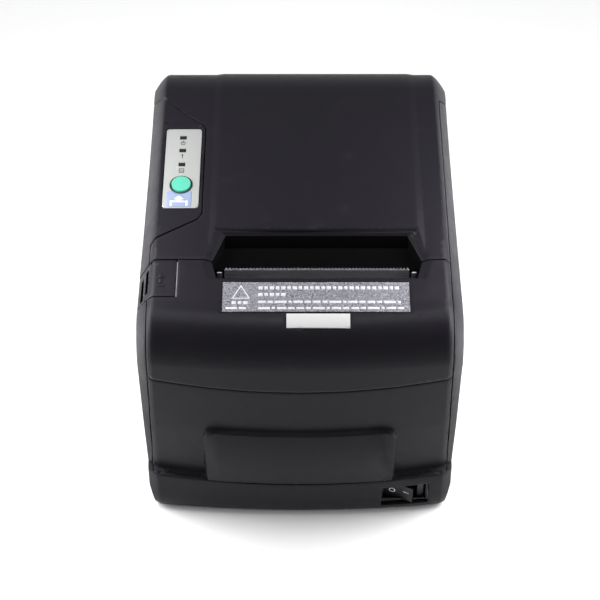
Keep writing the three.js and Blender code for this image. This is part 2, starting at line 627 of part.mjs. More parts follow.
// ---------------------------------------------------------------- print mechanism
function makeMechFrame() {
  const side = [[-74, 3.6], [-62, 3.6], [-62, 50], [-30, 60], [-24, 66], [-24, 108], [-40.6, 111.8],
    [-74, 111.8]];
  const notch = box(-60, 90, PLATEN.y - 4.5, PLATEN.y + 4.5, PLATEN.z, 130)
    .add(rodX(-60, 90, PLATEN.y, PLATEN.z, 4.5, 20));
  const latchHole = rodX(-60, 90, LATCH.y, LATCH.z, LATCH.radius + GAP, 20);
  const plates = [FRAME_LEFT, FRAME_RIGHT - SHEET].map((x) => minus(
    prismX(side, x, x + SHEET), notch, latchHole));
  const right = plates[1].subtract(rodX(40, 60, IDLER.y, IDLER.z, 2 + GAP, 16))
    .subtract(rodX(40, 60, MOTOR.y, MOTOR.z, 4, 16));
  const wall = box(FRAME_LEFT, FRAME_RIGHT, -59.4, -58.2, 44, 50)
    .add(box(FRAME_LEFT, FRAME_RIGHT, -74, -59, 44, 45.2));
  const front = box(FRAME_LEFT, FRAME_RIGHT, -74, -72.8, 44, 80);
  const springWall = box(FRAME_LEFT, FRAME_RIGHT, -55.6, -54.4, 86, 108);
  const tabs = [[FRAME_LEFT - 9, FRAME_LEFT + 1], [FRAME_RIGHT - 1, FRAME_RIGHT + 9]].map(([x0, x1]) =>
    box(x0, x1, -74, -62, 3.6, 4.8));
  return union(plates[0], right, wall, front, springWall, tabs);
}

function makeThermalHead() {
  return box(PATH_X - 41, PATH_X + 41, -44.3, -42.8, 93, 110.6)
    .add(rodX(PATH_X - 40, PATH_X + 40, -43.6, PLATEN.z, 0.9, 12).intersect(
      box(-90, 90, -44, -42.7, 90, 120)));
}

function makeHeatsink() {
  const fins = [];
  for (let i = 0; i < 9; i += 1) {
    const x = PATH_X - 36 + i * 9;
    fins.push(box(x - 0.8, x + 0.8, -50.4, -46.6, 93.2, 110.6));
  }
  return union(box(PATH_X - 41, PATH_X + 41, -46.8, -44.6, 93.2, 110.6), fins);
}

function makePlatenBracket() {
  const ear = [[-41.4, 103], [-40, 99.4], [-36, 97.8], [-30, 99], [-21.4, 104], [-21.4, 116],
    [-31, 112], [-40, 112], [-41.4, 108]];
  const ears = [[PATH_X - 43.4, PATH_X - 42.2], [PATH_X + 42.2, PATH_X + 43.4]].map(([x0, x1]) =>
    prismX(ear, x0, x1));
  const back = box(PATH_X - 43.4, PATH_X + 43.4, -22.6, -21.4, 100, 116);
  const top = prismX([[-40, 110.8], [-30.8, 110.8], [-21.4, 114.8], [-21.4, 116], [-31, 112], [-40, 112]],
    PATH_X - 43.4, PATH_X + 43.4);
  return minus(union(ears, back, top), rodX(-60, 80, PLATEN.y, PLATEN.z, PLATEN.shaft + GAP, 20));
}

function makeBush(x0) {
  const { y, z } = PLATEN;
  return rodX(x0, x0 + 2.4, y, z, 4.1, 24).subtract(rodX(x0 - 1, x0 + 5, y, z, PLATEN.shaft + GAP, 20));
}

function makePlatenShaft() {
  const { y, z } = PLATEN;
  return rodX(-44, 64, y, z, PLATEN.shaft, 20);
}

function makeRoller() {
  const { y, z, radius, half } = PLATEN;
  return rodX(PATH_X - half, PATH_X + half, y, z, radius, 36)
    .subtract(rodX(-60, 90, y, z, PLATEN.shaft + GAP, 20));
}

function makeFeedMotor() {
  const { y, z } = MOTOR;
  const can = rodX(24, 50.4, y, z, 12, 32);
  const flange = box(49.8, 51, y - 13, y + 13, z - 6, z + 6);
  return union(can, flange, rodX(50, 63, y, z, 1.5, 12));
}

function makeTearBlade() {
  const teeth = 54;
  const pitch = 1.52;
  const x0 = PATH_X - teeth * pitch / 2;
  const points = [[PATH_X - 44.4, 109], [PATH_X - 42.6, 109], [PATH_X - 42.6, 116.4],
    [PATH_X + 42.6, 116.4], [PATH_X + 42.6, 109], [PATH_X + 44.4, 109],
    [PATH_X + 44.4, 123.4], [PATH_X + 42.4, 123.4], [PATH_X + 42.4, 119], [PATH_X + 41.4, 119]];
  for (let i = teeth; i > 0; i -= 1) {
    points.push([x0 + i * pitch, 124.9], [x0 + (i - 0.5) * pitch, 126.2]);
  }
  points.push([x0, 124.9], [PATH_X - 41.4, 119], [PATH_X - 42.4, 119], [PATH_X - 42.4, 123.4],
    [PATH_X - 44.4, 123.4]);
  return prismY(points, -46.9, -46.3);
}

function makeLatchShaft() {
  const arm = box(-58.4, -54.6, -61, LATCH.y, 89.6, 91.4);
  return rodX(-59.4, 56.3, LATCH.y, LATCH.z, LATCH.radius, 20).add(arm);
}

function makeHook(x0) {
  const { y, z } = LATCH;
  const outline = [[-50, 88], [-46, 84.8], [-42.4, 87.6], [-41.4, 94], [-41, 104], [-38.9, 106.6],
    [-38.9, 109.4], [-42, 110.2], [-45, 106], [-49, 95]];
  return prismX(outline, x0, x0 + 1.4).subtract(rodX(x0 - 1, x0 + 3, y, z, LATCH.radius + GAP, 20));
}

// ---------------------------------------------------------------- cutter
function makeCutterPlate() {
  const z = CUTTER.blade - 1.5;
  return minus(box(FRAME_LEFT, FRAME_RIGHT, -76, -47.6, z, z + SHEET),
    rodZ(100, 120, CUTTER.x, CUTTER.y, 2.6, 20),
    rodZ(100, 120, CUTTER.x + centreDistance(CUTTER.teeth, CUTTER.wheelTeeth), CUTTER.y, 2 + GAP, 16));
}

// The blade is open round the gear for its whole travel, with a rack along the left side of the opening.
function makeCutterBlade() {
  const { x, y, blade, teeth } = CUTTER;
  const rackX = x - MODULE * teeth / 2 - 0.12;
  let sheet = prismZ([[PATH_X - 42, -74], [PATH_X + 42, -74], [PATH_X + 42, -48.2], [PATH_X, -47.6],
    [PATH_X - 42, -48.2]], blade, blade + 1);
  sheet = sheet.subtract(box(rackX - 1.15 * MODULE, x + 24, y - 20, y + 7.6, blade - 1, blade + 2));
  const pitch = Math.PI * MODULE;
  const tips = [];
  for (let i = -4; i <= 1; i += 1) {
    const middle = y + (i + 0.5) * pitch;
    const rootX = rackX - 1.25 * MODULE;
    const tipX = rackX + 0.8 * MODULE;
    tips.push(prismZ([[rootX, middle - 0.33 * pitch], [tipX, middle - 0.13 * pitch],
      [tipX, middle + 0.13 * pitch], [rootX, middle + 0.33 * pitch]], blade, blade + 1));
  }
  return union(sheet, tips);
}

function gearZ(teeth, x, y, z0, z1, phase, bore) {
  const turn = new THREE.Matrix4().set(0, 1, 0, x, 0, 0, 1, y, 1, 0, 0, 0, 0, 0, 0, 1);
  const flat = gear(teeth, z0, z1, 0, 0, phase, bore);
  return flat.transform(turn.toArray());
}

function makeCutterGear() {
  const { x, y, blade, teeth } = CUTTER;
  return gearZ(teeth, x, y, blade - 0.05, blade + 5, Math.PI, 2 + GAP);
}

const WHEEL = { x: CUTTER.x + centreDistance(CUTTER.teeth, CUTTER.wheelTeeth), y: CUTTER.y };

function makeHandWheel() {
  const phase = meshPhase(CUTTER.teeth, Math.PI, CUTTER.wheelTeeth, 0);
  return gearZ(CUTTER.wheelTeeth, WHEEL.x, WHEEL.y, CUTTER.blade + 1.5, CUTTER.blade + 5, phase, 2 + GAP);
}

function makeCutterMotor() {
  const { x, y, blade } = CUTTER;
  const can = rodZ(86, blade - 1.9, x, y, 8, 28);
  return can.add(rodZ(86, blade + 4.4, x, y, 2, 16));
}

// ---------------------------------------------------------------- inside
function makePaperBucket() {
  const half = 41.6;
  const wall = 2;
  const well = new THREE.Shape();
  well.moveTo(-15, 140);
  well.lineTo(-15, 76);
  well.absarc(28, 76, 43, Math.PI, Math.PI * 2);
  well.lineTo(71, 140);
  const outside = new THREE.Shape();
  outside.moveTo(-17, 96);
  outside.lineTo(-17, 76);
  outside.absarc(28, 76, 45, Math.PI, Math.PI * 2);
  outside.lineTo(73, 112);
  outside.lineTo(60, 121);
  outside.lineTo(-2, 118);
  const body = prismX(outside, PATH_X - half - wall, PATH_X + half + wall, 16);
  const legs = [-28, 43].map((x) => box(x - 2, x + 2, 20, 36, 3.6, 36));
  return union(body, legs).subtract(prismX(well, PATH_X - half, PATH_X + half, 16));
}

function makeSocket({ x, w, h, mouth }) {
  const middle = SOCKET_FLOOR + h / 2;
  const body = box(x - w / 2, x + w / 2, 76, REAR - 0.4, SOCKET_FLOOR, SOCKET_FLOOR + h);
  const [wide, high] = mouth;
  return body.subtract(box(x - wide / 2, x + wide / 2, 82, 100, middle - high / 2, middle + high / 2));
}

function makeMainBoard() {
  const board = box(-55, 50, -8, 84, 8, 9.6).subtract(box(-31, -25, 18, 38, 7, 11))
    .subtract(box(40, 46, 18, 38, 7, 11));
  const parts = [[-40, -26, 44, 58, 12], [-8, 6, 8, 22, 11.2], [14, 24, 46, 54, 14], [-48, -36, 4, 12, 13],
    [26, 34, -2, 6, 12]];
  return union(board, parts.map(([x0, x1, y0, y1, top]) => box(x0, x1, y0, y1, 9.5, top)));
}

// ---------------------------------------------------------------- power switch
function makeSwitchHousing() {
  const { x0, x1, z0, z1 } = SWITCH;
  const shell = box(x0 + GAP, x1 - GAP, -87.2, -75.2, z0 + GAP, z1 - GAP);
  const room = box(x0 + 1.2, x1 - 1.2, -100, -78, z0 + 1.2, z1 - 1.2);
  const block = box(x1 - 5.2, x1 - 2.4, -86.6, -77, z0 + 1, z1 - 1);
  const pins = [44, 50].map((x) => box(x - 0.4, x + 0.4, -75.3, -70, 10, 15));
  return union(shell.subtract(room), block, pins);
}

function makeRocker() {
  const { x, y } = ROCKER;
  const outline = [[x - 6.8, y + 0.4], [x, y - 1.2], [x + 6.4, y - 4.2], [x + 6.9, y - 3.4],
    [x + 4, y + 4], [x - 3, y + 5], [x - 5.6, y + 3.4]];
  return prismZ(outline, SWITCH.z0 + 1.6, SWITCH.z1 - 1.6);
}

// ---------------------------------------------------------------- stickers
function makeLabel(area) {
  return above(area, -GAP).intersect(layer(0.02, 0.26));
}

// ---------------------------------------------------------------- materials and scene
const finish = (color, roughness, metalness) => ({ color, roughness, metalness });
const BLACK = finish(0x2b2b2e, 0.45, 0);
const DARK = finish(0x18181a, 0.55, 0);
const STEEL = finish(0xb6b8ba, 0.35, 0.9);
const RUBBER = finish(0x1c1c1c, 0.9, 0);
const NYLON = finish(0xe4e2da, 0.5, 0);
const GREEN = finish(0x5fb59a, 0.45, 0);
const LABEL = finish(0xd0d4d4, 0.5, 0);
const FOIL = finish(0xa8a8ae, 0.4, 0.6);
const BOARD = finish(0x1f5a38, 0.6, 0);

const printer = new THREE.Group();

function place(name, body, look, parent = printer) {
  const raw = body.getMesh();
  const geometry = new THREE.BufferGeometry();
  geometry.setAttribute("position", new THREE.Float32BufferAttribute(raw.vertProperties, 3));
  geometry.setIndex(Array.from(raw.triVerts));
  const mesh = new THREE.Mesh(geometry, new THREE.MeshStandardMaterial(look));
  mesh.name = name;
  parent.add(mesh);
}

place("lower_case", makeLowerCase(), BLACK);
place("front_panel", makeFrontPanel(), BLACK);
place("cutter_cover", makeCutterCover(), BLACK);
place("paper_cover", makePaperCover(), BLACK);
place("bottom_plate", makeBottomPlate(), STEEL);
const corners = ["front_left", "front_right", "rear_left", "rear_right"];
corners.forEach((corner, i) => {
  place(`foot_${corner}`, makeFoot(...FEET[i]), RUBBER);
  place(`base_screw_${corner}`, makeScrew(...SCREWS[i]), STEEL);
});

place("panel_label", makePanelLabel(), LABEL);
["lamp_power", "lamp_error", "lamp_paper"].forEach((name, i) => place(name, makeLamp(LAMPS[i]), DARK));
place("feed_button", makeFeedButton(), GREEN);
place("feed_switch", makeFeedSwitch(), DARK);
place("panel_board", makePanelBoard(), BOARD);
place("open_button", makeOpenButton(), BLACK);
place("open_button_spring", makeCoil(-62, -52, 101, 121, 2.7, 0.35, 6), STEEL);
place("silver_label", makeLabel(SILVER), FOIL);
place("white_label", makeLabel(WHITE), NYLON);

place("tear_blade", makeTearBlade(), STEEL);
place("mech_frame", makeMechFrame(), STEEL);
place("thermal_head", makeThermalHead(), DARK);
place("head_heatsink", makeHeatsink(), STEEL);
[["left", -12], ["right", 27]].forEach(([side, x]) => {
  const coil = makeCoil(0, 0, -1.2, 1.2, 2.6, 0.35, 2).rotate([90, 0, 0]).translate([x, -52.4, 99]);
  place(`head_spring_${side}`, coil, STEEL);
});
place("platen_bracket", makePlatenBracket(), STEEL);
place("platen_roller", makeRoller(), RUBBER);
place("platen_shaft", makePlatenShaft(), STEEL);
place("platen_bush_left", makeBush(-39.1), NYLON);
place("platen_bush_right", makeBush(51.9), NYLON);
place("platen_gear", makeGear(TRAIN.platen, PLATEN, DOWN, PLATEN.shaft + GAP), NYLON);
place("idler_gear", makeGear(TRAIN.idler, IDLER, IDLER_PHASE, 2 + GAP), NYLON);
place("idler_axle", rodX(49, 63, IDLER.y, IDLER.z, 2, 20), STEEL);
place("motor_pinion", makeGear(TRAIN.pinion, MOTOR, PINION_PHASE, 1.5 + GAP), STEEL);
place("feed_motor", makeFeedMotor(), DARK);
place("latch_shaft", makeLatchShaft(), STEEL);
place("latch_hook_left", makeHook(-42.6), STEEL);
place("latch_hook_right", makeHook(54.7), STEEL);

place("cutter_plate", makeCutterPlate(), STEEL);
place("cutter_blade", makeCutterBlade(), STEEL);
place("fixed_blade", box(PATH_X - 41.4, PATH_X + 41.4, -42, -33.4, 112.4, 113.3)
  .subtract(box(-90, 90, -40, -30, 100, 112.3)), STEEL);
place("cutter_gear", makeCutterGear(), NYLON);
place("cutter_hand_wheel", makeHandWheel(), NYLON);
place("cutter_wheel_axle", rodZ(110, CUTTER.blade + 4.6, WHEEL.x, WHEEL.y, 2, 16), STEEL);
place("cutter_motor", makeCutterMotor(), DARK);

place("paper_bucket", makePaperBucket(), DARK);
place("main_board", makeMainBoard(), BOARD);
SOCKETS.forEach((socket) => place(socket.name, makeSocket(socket), DARK));
place("switch_housing", makeSwitchHousing(), DARK);
place("power_rocker", makeRocker(), BLACK);
place("hinge_shaft", rodX(-64, 64, HINGE.y, HINGE.z, HINGE.pin, 20), STEEL);

export default printer;
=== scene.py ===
# Receipt printer: refined casing surfaces, small printed and moulded details, and materials.
# Lengths in the tables below are millimetres, and MM turns them into Blender's metres.
import math

import bmesh
import bpy
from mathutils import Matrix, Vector
from mathutils.bvhtree import BVHTree


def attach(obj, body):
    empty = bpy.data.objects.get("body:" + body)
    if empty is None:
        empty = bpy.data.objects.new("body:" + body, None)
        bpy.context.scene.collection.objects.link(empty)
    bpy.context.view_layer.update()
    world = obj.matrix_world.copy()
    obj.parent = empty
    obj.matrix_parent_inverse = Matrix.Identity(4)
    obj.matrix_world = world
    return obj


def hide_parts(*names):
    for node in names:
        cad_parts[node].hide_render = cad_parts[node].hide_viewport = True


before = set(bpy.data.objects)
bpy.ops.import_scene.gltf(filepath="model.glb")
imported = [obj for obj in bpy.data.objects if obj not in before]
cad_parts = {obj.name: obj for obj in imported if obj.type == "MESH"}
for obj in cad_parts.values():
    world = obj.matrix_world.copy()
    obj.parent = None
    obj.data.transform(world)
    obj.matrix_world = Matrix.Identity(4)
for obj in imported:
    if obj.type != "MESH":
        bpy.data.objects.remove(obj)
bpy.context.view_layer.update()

MM = 0.001

# ---------------------------------------------------------------- casing envelope
# These follow the driving dimensions of the CAD source.
HALF_WIDTH = 72.5
FRONT = -93.0
REAR = 93.0
TOP = 135.0
CREASE_TOP = 64.8  # half width where the top turns down into the shoulder
CREASE_FOOT = 67.4  # the same line at the foot of the front
BASE_TOP = 24.8  # seam between base band and front panel
CASE_BOTTOM = 1.0
PATH_X = 7.5  # middle of the paper path
EXIT_FRONT = -50.8  # front of the paper exit


def arc(y, z, radius, start, end, steps):
    angles = [math.radians(start + (end - start) * i / steps) for i in range(steps + 1)]
    return [(y + radius * math.cos(a), z + radius * math.sin(a)) for a in angles]


def bezier(start, control, end, steps):
    points = []
    for i in range(steps + 1):
        t = i / steps
        weights = ((1 - t) ** 2, 2 * t * (1 - t), t * t)
        points.append(tuple(weights[0] * a + weights[1] * b + weights[2] * c
                            for a, b, c in zip(start, control, end)))
    return points


def middle_outline(inset):
    """Side outline (Y, Z) of the casing in its middle."""
    ledge = 4.2
    return [
        *bezier((FRONT + 2.6 + inset, CASE_BOTTOM), (FRONT - 0.3 + inset, CASE_BOTTOM + 2),
                (FRONT + inset, 11), 8),
        (FRONT + 0.2 + inset, BASE_TOP),
        (FRONT + 0.2 + ledge + inset, BASE_TOP + 1.2),
        (-88.9 + inset, 60),
        *arc(-67.9, 103.9, 20.5 - inset, 180, 97.5, 36),
        *bezier((-66, 123.9 - inset), (-3.6, 133 - inset), (60, TOP - inset), 24),
        *arc(REAR - 30, TOP - 30, 30 - inset, 88, 0, 36),
        (REAR - inset, CASE_BOTTOM),
    ]


def outer_outline(inset):
    """Side outline at the widest line, with the same number of points."""
    inward = 2.9
    return [
        *bezier((FRONT + inward + 2.6 + inset, CASE_BOTTOM),
                (FRONT + inward - 0.3 + inset, CASE_BOTTOM + 2), (FRONT + inward + inset, 11), 8),
        (FRONT + 3.6 + inset, BASE_TOP),
        (FRONT + 6.6 + inset, BASE_TOP + 1.2),
        (-86 + inset, 56),
        *arc(-63, 93.8, 20.3 - inset, 180, 92, 36),
        *bezier((-61, 114.2 - inset), (52, 113.4 - inset), (73, 119.4 - inset), 24),
        *arc(75, 105.5, 14 - inset, 90, 0, 36),
        (89 - inset, CASE_BOTTOM),
    ]


def bow(x, y, z):
    """The front bows forward towards the middle, and the bow fades out over the top."""
    radius = 370 + 2.1 * max(z - BASE_TOP, 0) + 11 * max(BASE_TOP - z, 0)
    share = min(max((-40 - y) / 35, 0), 1)
    return share * x * x / (2 * radius)


def crease_at(z):
    share = min(max((115 - z) / 90, 0), 1)
    return CREASE_TOP + (CREASE_FOOT - CREASE_TOP) * share


def envelope(inset):
    """Points and quads of the smooth outside of the printer, a wall thickness inside its face."""
    middle = middle_outline(inset)
    outer = outer_outline(inset)
    steps = 16
    stations = [(-1, 1 - i / steps) for i in range(steps)]
    stations += [(-1 + i / steps, 0) for i in range(2 * steps + 1)]
    stations += [(1, (i + 1) / steps) for i in range(steps)]
    points = []
    for side, share in stations:
        drop = share ** 1.4
        for (y, z), (outer_y, outer_z) in zip(middle, outer):
            crease = crease_at(z)
            wide = crease + (HALF_WIDTH - crease) * share - inset * (0.5 + 0.5 * share)
            yy = y + (outer_y - y) * drop
            zz = z + (outer_z - z) * drop
            points.append((side * wide, yy + bow(side * wide, yy, zz), zz))
    return grid_of(points, len(middle))


def grid_of(points, count):
    """The points with the quads between their columns, which hold count points each."""
    faces = []
    for start in range(0, len(points) - count, count):
        for i in range(count - 1):
            a = start + i
            faces.append((a, a + 1, a + 1 + count, a + count))
    return points, faces


def plateau():
    """The raised middle of the paper cover, with its sloping sides."""
    foot, rim = (51.4, -0.6), (45.6, 0.7)  # half width and lift
    outline = [(y, z) for y, z in middle_outline(0) if z > 102 and y > -60]
    points = []
    for side, (half, lift) in ((-1, foot), (-1, rim), (1, rim), (1, foot)):
        for y, z in outline:
            rear = max(y - 63, 0) / 30
            points.append((PATH_X + side * half, y + lift * rear, z + lift * (1 - rear)))
    return grid_of(points, len(outline))


def tree_of(*surfaces):
    """A search tree over surfaces, in metres."""
    points, faces = [], []
    for surface_points, surface_faces in surfaces:
        faces += [tuple(i + len(points) for i in face) for face in surface_faces]
        points += [Vector(p) * MM for p in surface_points]
    return BVHTree.FromPolygons(points, faces, epsilon=0.0)


FACE = tree_of(envelope(0))


# ---------------------------------------------------------------- meshes
def new_object(name, bm):
    mesh = bpy.data.meshes.new(name)
    bm.to_mesh(mesh)
    bm.free()
    piece = bpy.data.objects.new(name, mesh)
    bpy.context.scene.collection.objects.link(piece)
    return piece


def shade(piece, angle):
    """Smooth faces, with the edges sharper than the angle kept."""
    mesh = piece.data
    mesh.polygons.foreach_set("use_smooth", [True] * len(mesh.polygons))
    mesh.set_sharp_from_angle(angle=math.radians(angle))


def round_edges(piece, width, angle=40, segments=2):
    bevel = piece.modifiers.new("rounded_edges", "BEVEL")
    bevel.width = width * MM
    bevel.segments = segments
    bevel.limit_method = "ANGLE"
    bevel.angle_limit = math.radians(angle)
    bevel.use_clamp_overlap = False
    normals = piece.modifiers.new("even_normals", "WEIGHTED_NORMAL")
    normals.keep_sharp = True
    normals.weight = 80


def round_shell(piece, width, angle):
    """Rounded edges on a shell: a vertex that the rounding throws off the shell is laid back on it."""
    bm = bmesh.new()
    bm.from_mesh(piece.data)
    surface = BVHTree.FromBMesh(bm)
    bm.free()
    low = [min(v.co[k] for v in piece.data.vertices) for k in range(3)]
    high = [max(v.co[k] for v in piece.data.vertices) for k in range(3)]
    round_edges(piece, width, angle)
    ready = piece.evaluated_get(bpy.context.evaluated_depsgraph_get())
    mesh = bpy.data.meshes.new_from_object(ready)
    piece.modifiers.clear()
    for vert in mesh.vertices:
        place, _, _, distance = surface.find_nearest(vert.co)
        if distance > 0.5 * width * MM:
            vert.co = place
        vert.co = [min(max(vert.co[k], low[k]), high[k]) for k in range(3)]
    piece.data = mesh
    shade(piece, angle)


def near_surface(face, tree, reach):
    """True where a face lies along the smooth surface."""
    least_agreement = 0.86
    _, normal, _, distance = tree.find_nearest(face.calc_center_median())
    return distance is not None and distance < reach and abs(normal.dot(face.normal)) > least_agreement


def subdivide(bm, finest, wanted=None):
    """Halve the long edges until they are short, everywhere or only beside the wanted faces."""
    for _ in range(7):
        long_edges = [edge for edge in bm.edges if edge.calc_length() > finest * MM
                      and (wanted is None or any(face[wanted] for face in edge.link_faces))]
        if not long_edges:
            break
        bmesh.ops.subdivide_edges(bm, edges=long_edges, cuts=1)
        bmesh.ops.triangulate(bm, faces=[face for face in bm.faces if len(face.verts) > 3])


def refined(node, body, tree, finest=2.6, reach=0.6):
    """A copy of a CAD node whose outside follows the smooth surface instead of flat facets."""
    weld = 0.02 * MM
    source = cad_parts[node].data
    low = [min(v.co[k] for v in source.vertices) for k in range(3)]
    high = [max(v.co[k] for v in source.vertices) for k in range(3)]
    bm = bmesh.new()
    bm.from_mesh(source)
    bmesh.ops.remove_doubles(bm, verts=bm.verts, dist=weld)
    bmesh.ops.dissolve_limit(bm, angle_limit=math.radians(0.4), verts=bm.verts, edges=bm.edges)
    bmesh.ops.triangulate(bm, faces=bm.faces, quad_method="BEAUTY", ngon_method="BEAUTY")
    bm.normal_update()
    on_face = bm.faces.layers.int.new("on_face")
    for face in bm.faces:
        face[on_face] = int(near_surface(face, tree, reach * MM))
    subdivide(bm, finest, on_face)
    for vert in bm.verts:
        if any(face[on_face] for face in vert.link_faces):
            place, _, _, distance = tree.find_nearest(vert.co)
            if distance < reach * MM:
                vert.co = [min(max(place[k], low[k]), high[k]) for k in range(3)]
    bm.faces.layers.int.remove(on_face)
    bmesh.ops.remove_doubles(bm, verts=bm.verts, dist=weld)
    piece = new_object(node + "_skin", bm)
    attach(piece, body)
    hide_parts(node)
    return piece


# ---------------------------------------------------------------- materials
def material(name):
    """A new material, with its nodes, links, shader and object coordinates."""
    made = bpy.data.materials.new(name)
    made.use_nodes = True
    nodes = made.node_tree.nodes
    shader = nodes["Principled BSDF"]
    coordinates = nodes.new("ShaderNodeTexCoord")
    return made, nodes, made.node_tree.links, shader, coordinates.outputs["Object"]


def noise(nodes, links, place, scale, detail=3.0):
    texture = nodes.new("ShaderNodeTexNoise")
    texture.inputs["Scale"].default_value = scale
    texture.inputs["Detail"].default_value = detail
    links.new(place, texture.inputs["Vector"])
    return texture.outputs["Fac"]


def spread(nodes, links, factor, low, high, reach=(0.35, 0.65)):
    """A number that follows a noise between two limits."""
    change = nodes.new("ShaderNodeMapRange")
    change.inputs["From Min"].default_value = reach[0]
    change.inputs["From Max"].default_value = reach[1]
    change.inputs["To Min"].default_value = low
    change.inputs["To Max"].default_value = high
    links.new(factor, change.inputs["Value"])
    return change.outputs["Result"]


def mixed(nodes, links, factor, first, second):
    mix = nodes.new("ShaderNodeMix")
    mix.data_type = "RGBA"
    for socket, color in (("A", first), ("B", second)):
        slot = [s for s in mix.inputs if s.name == socket and s.type == "RGBA"][0]
        if isinstance(color, tuple):
            slot.default_value = (*color, 1)
        else:
            links.new(color, slot)
    links.new(factor, mix.inputs["Factor"])
    return [s for s in mix.outputs if s.type == "RGBA"][0]


def bumped(nodes, links, shader, height, strength, distance):
    bump = nodes.new("ShaderNodeBump")
    bump.inputs["Strength"].default_value = strength
    bump.inputs["Distance"].default_value = distance * MM
    links.new(height, bump.inputs["Height"])
    links.new(bump.outputs["Normal"], shader.inputs["Normal"])


def moulded(name, color, scuffed, roughness=(0.37, 0.43), grain=2600, strength=0.16, specular=0.5):
    """Moulded plastic: fine spark texture, slow changes of gloss and faint lighter scuffs."""
    made, nodes, links, shader, place = material(name)
    slow = noise(nodes, links, place, 22, 2)
    fine = noise(nodes, links, place, grain, 2)
    patch = noise(nodes, links, place, 190, 4)
    scuffs = spread(nodes, links, noise(nodes, links, place, 75, 6), 0, 0.025, (0.62, 0.78))
    tint = mixed(nodes, links, slow, tuple(c * 0.94 for c in color), tuple(c * 1.06 for c in color))
    links.new(mixed(nodes, links, scuffs, tint, scuffed), shader.inputs["Base Color"])
    links.new(spread(nodes, links, patch, *roughness), shader.inputs["Roughness"])
    shader.inputs["Specular IOR Level"].default_value = specular
    bumped(nodes, links, shader, fine, strength, 0.02)
    return made


def sheet_metal(name, color, roughness=(0.26, 0.4), stretch=(1, 18, 18)):
    """Rolled steel: drawn grain along X, cloudy zinc."""
    made, nodes, links, shader, place = material(name)
    mapping = nodes.new("ShaderNodeMapping")
    mapping.inputs["Scale"].default_value = stretch
    links.new(place, mapping.inputs["Vector"])
    grain = noise(nodes, links, mapping.outputs["Vector"], 160, 4)
    cloud = noise(nodes, links, place, 60, 3)
    tint = mixed(nodes, links, cloud, tuple(c * 0.85 for c in color), color)
    links.new(tint, shader.inputs["Base Color"])
    shader.inputs["Metallic"].default_value = 1
    links.new(spread(nodes, links, grain, *roughness), shader.inputs["Roughness"])
    bumped(nodes, links, shader, grain, 0.12, 0.02)
    return made


def rubber(name):
    """Dull moulded rubber with dust in its pores."""
    made, nodes, links, shader, place = material(name)
    dust = noise(nodes, links, place, 420, 5)
    links.new(mixed(nodes, links, dust, (0.012, 0.012, 0.012), (0.035, 0.034, 0.033)),
              shader.inputs["Base Color"])
    links.new(spread(nodes, links, dust, 0.72, 0.92), shader.inputs["Roughness"])
    bumped(nodes, links, shader, noise(nodes, links, place, 3200, 2), 0.3, 0.03)
    return made


def printed_film(name, color, roughness=(0.36, 0.46), scale=900):
    """Printed polyester film with a faint orange peel."""
    made, nodes, links, shader, place = material(name)
    darker = tuple(c * 0.95 for c in color)
    lighter = tuple(min(c * 1.04, 1) for c in color)
    tint = mixed(nodes, links, noise(nodes, links, place, 45, 2), darker, lighter)
    links.new(tint, shader.inputs["Base Color"])
    peel = noise(nodes, links, place, scale, 2)
    links.new(spread(nodes, links, peel, *roughness), shader.inputs["Roughness"])
    bumped(nodes, links, shader, peel, 0.08, 0.02)
    return made


def speckled_foil(name):
    """Brushed foil sticker: bright and dark grey specks, each with its own gloss."""
    made, nodes, links, shader, place = material(name)
    specks = noise(nodes, links, place, 2100, 3)
    tone = spread(nodes, links, specks, 0, 1, (0.4, 0.62))
    tint = mixed(nodes, links, tone, (0.05, 0.05, 0.06), (0.34, 0.34, 0.38))
    links.new(tint, shader.inputs["Base Color"])
    shader.inputs["Metallic"].default_value = 0.2
    links.new(spread(nodes, links, specks, 0.42, 0.6), shader.inputs["Roughness"])
    bumped(nodes, links, shader, specks, 0.2, 0.02)
    return made


def circuit_board(name):
    """Green lacquer over copper: a faint lattice of tracks."""
    made, nodes, links, shader, place = material(name)
    tracks = nodes.new("ShaderNodeTexBrick")
    tracks.inputs["Scale"].default_value = 220
    tracks.inputs["Mortar Size"].default_value = 0.04
    tracks.inputs["Color1"].default_value = (0.012, 0.12, 0.05, 1)
    tracks.inputs["Color2"].default_value = (0.016, 0.14, 0.06, 1)
    tracks.inputs["Mortar"].default_value = (0.03, 0.24, 0.1, 1)
    links.new(place, tracks.inputs["Vector"])
    links.new(tracks.outputs["Color"], shader.inputs["Base Color"])
    gloss = spread(nodes, links, noise(nodes, links, place, 300), 0.25, 0.4)
    links.new(gloss, shader.inputs["Roughness"])
    bumped(nodes, links, shader, tracks.outputs["Fac"], 0.2, 0.03)
    return made


CASE = moulded("case_plastic", (0.0095, 0.0085, 0.012), (0.16, 0.155, 0.18), specular=0.12)
# Near-black plastic for the motors, sockets and other dark inner parts. On the casing shells it is also
# painted shade in the throat of the paper exit.
DARK_AND_PAINTED_SHADE = moulded("dark_plastic_and_painted_shade", (0.0012, 0.0012, 0.0014), (0.01, 0.01, 0.012), (0.5, 0.65), 1500, 0.25,
               specular=0.05)
SWITCH_PLASTIC = moulded("switch_plastic", (0.004, 0.004, 0.005), (0.06, 0.06, 0.06), (0.28, 0.4),
                         1800, 0.1, specular=0.3)
NYLON = moulded("white_nylon", (0.7, 0.69, 0.64), (0.8, 0.79, 0.75), (0.4, 0.55), 1200, 0.15)
GREEN = moulded("green_button", (0.07, 0.38, 0.27), (0.3, 0.7, 0.55), (0.3, 0.4), 1500, 0.08)
SMOKED = moulded("smoked_lens", (0.01, 0.01, 0.01), (0.05, 0.05, 0.05), (0.12, 0.2), 900, 0.03)
STEEL = sheet_metal("zinc_sheet", (0.62, 0.63, 0.65))
BRIGHT = sheet_metal("ground_steel", (0.8, 0.8, 0.81), (0.14, 0.26))
RUBBER = rubber("moulded_rubber")
FILM = printed_film("panel_film", (0.29, 0.295, 0.29))
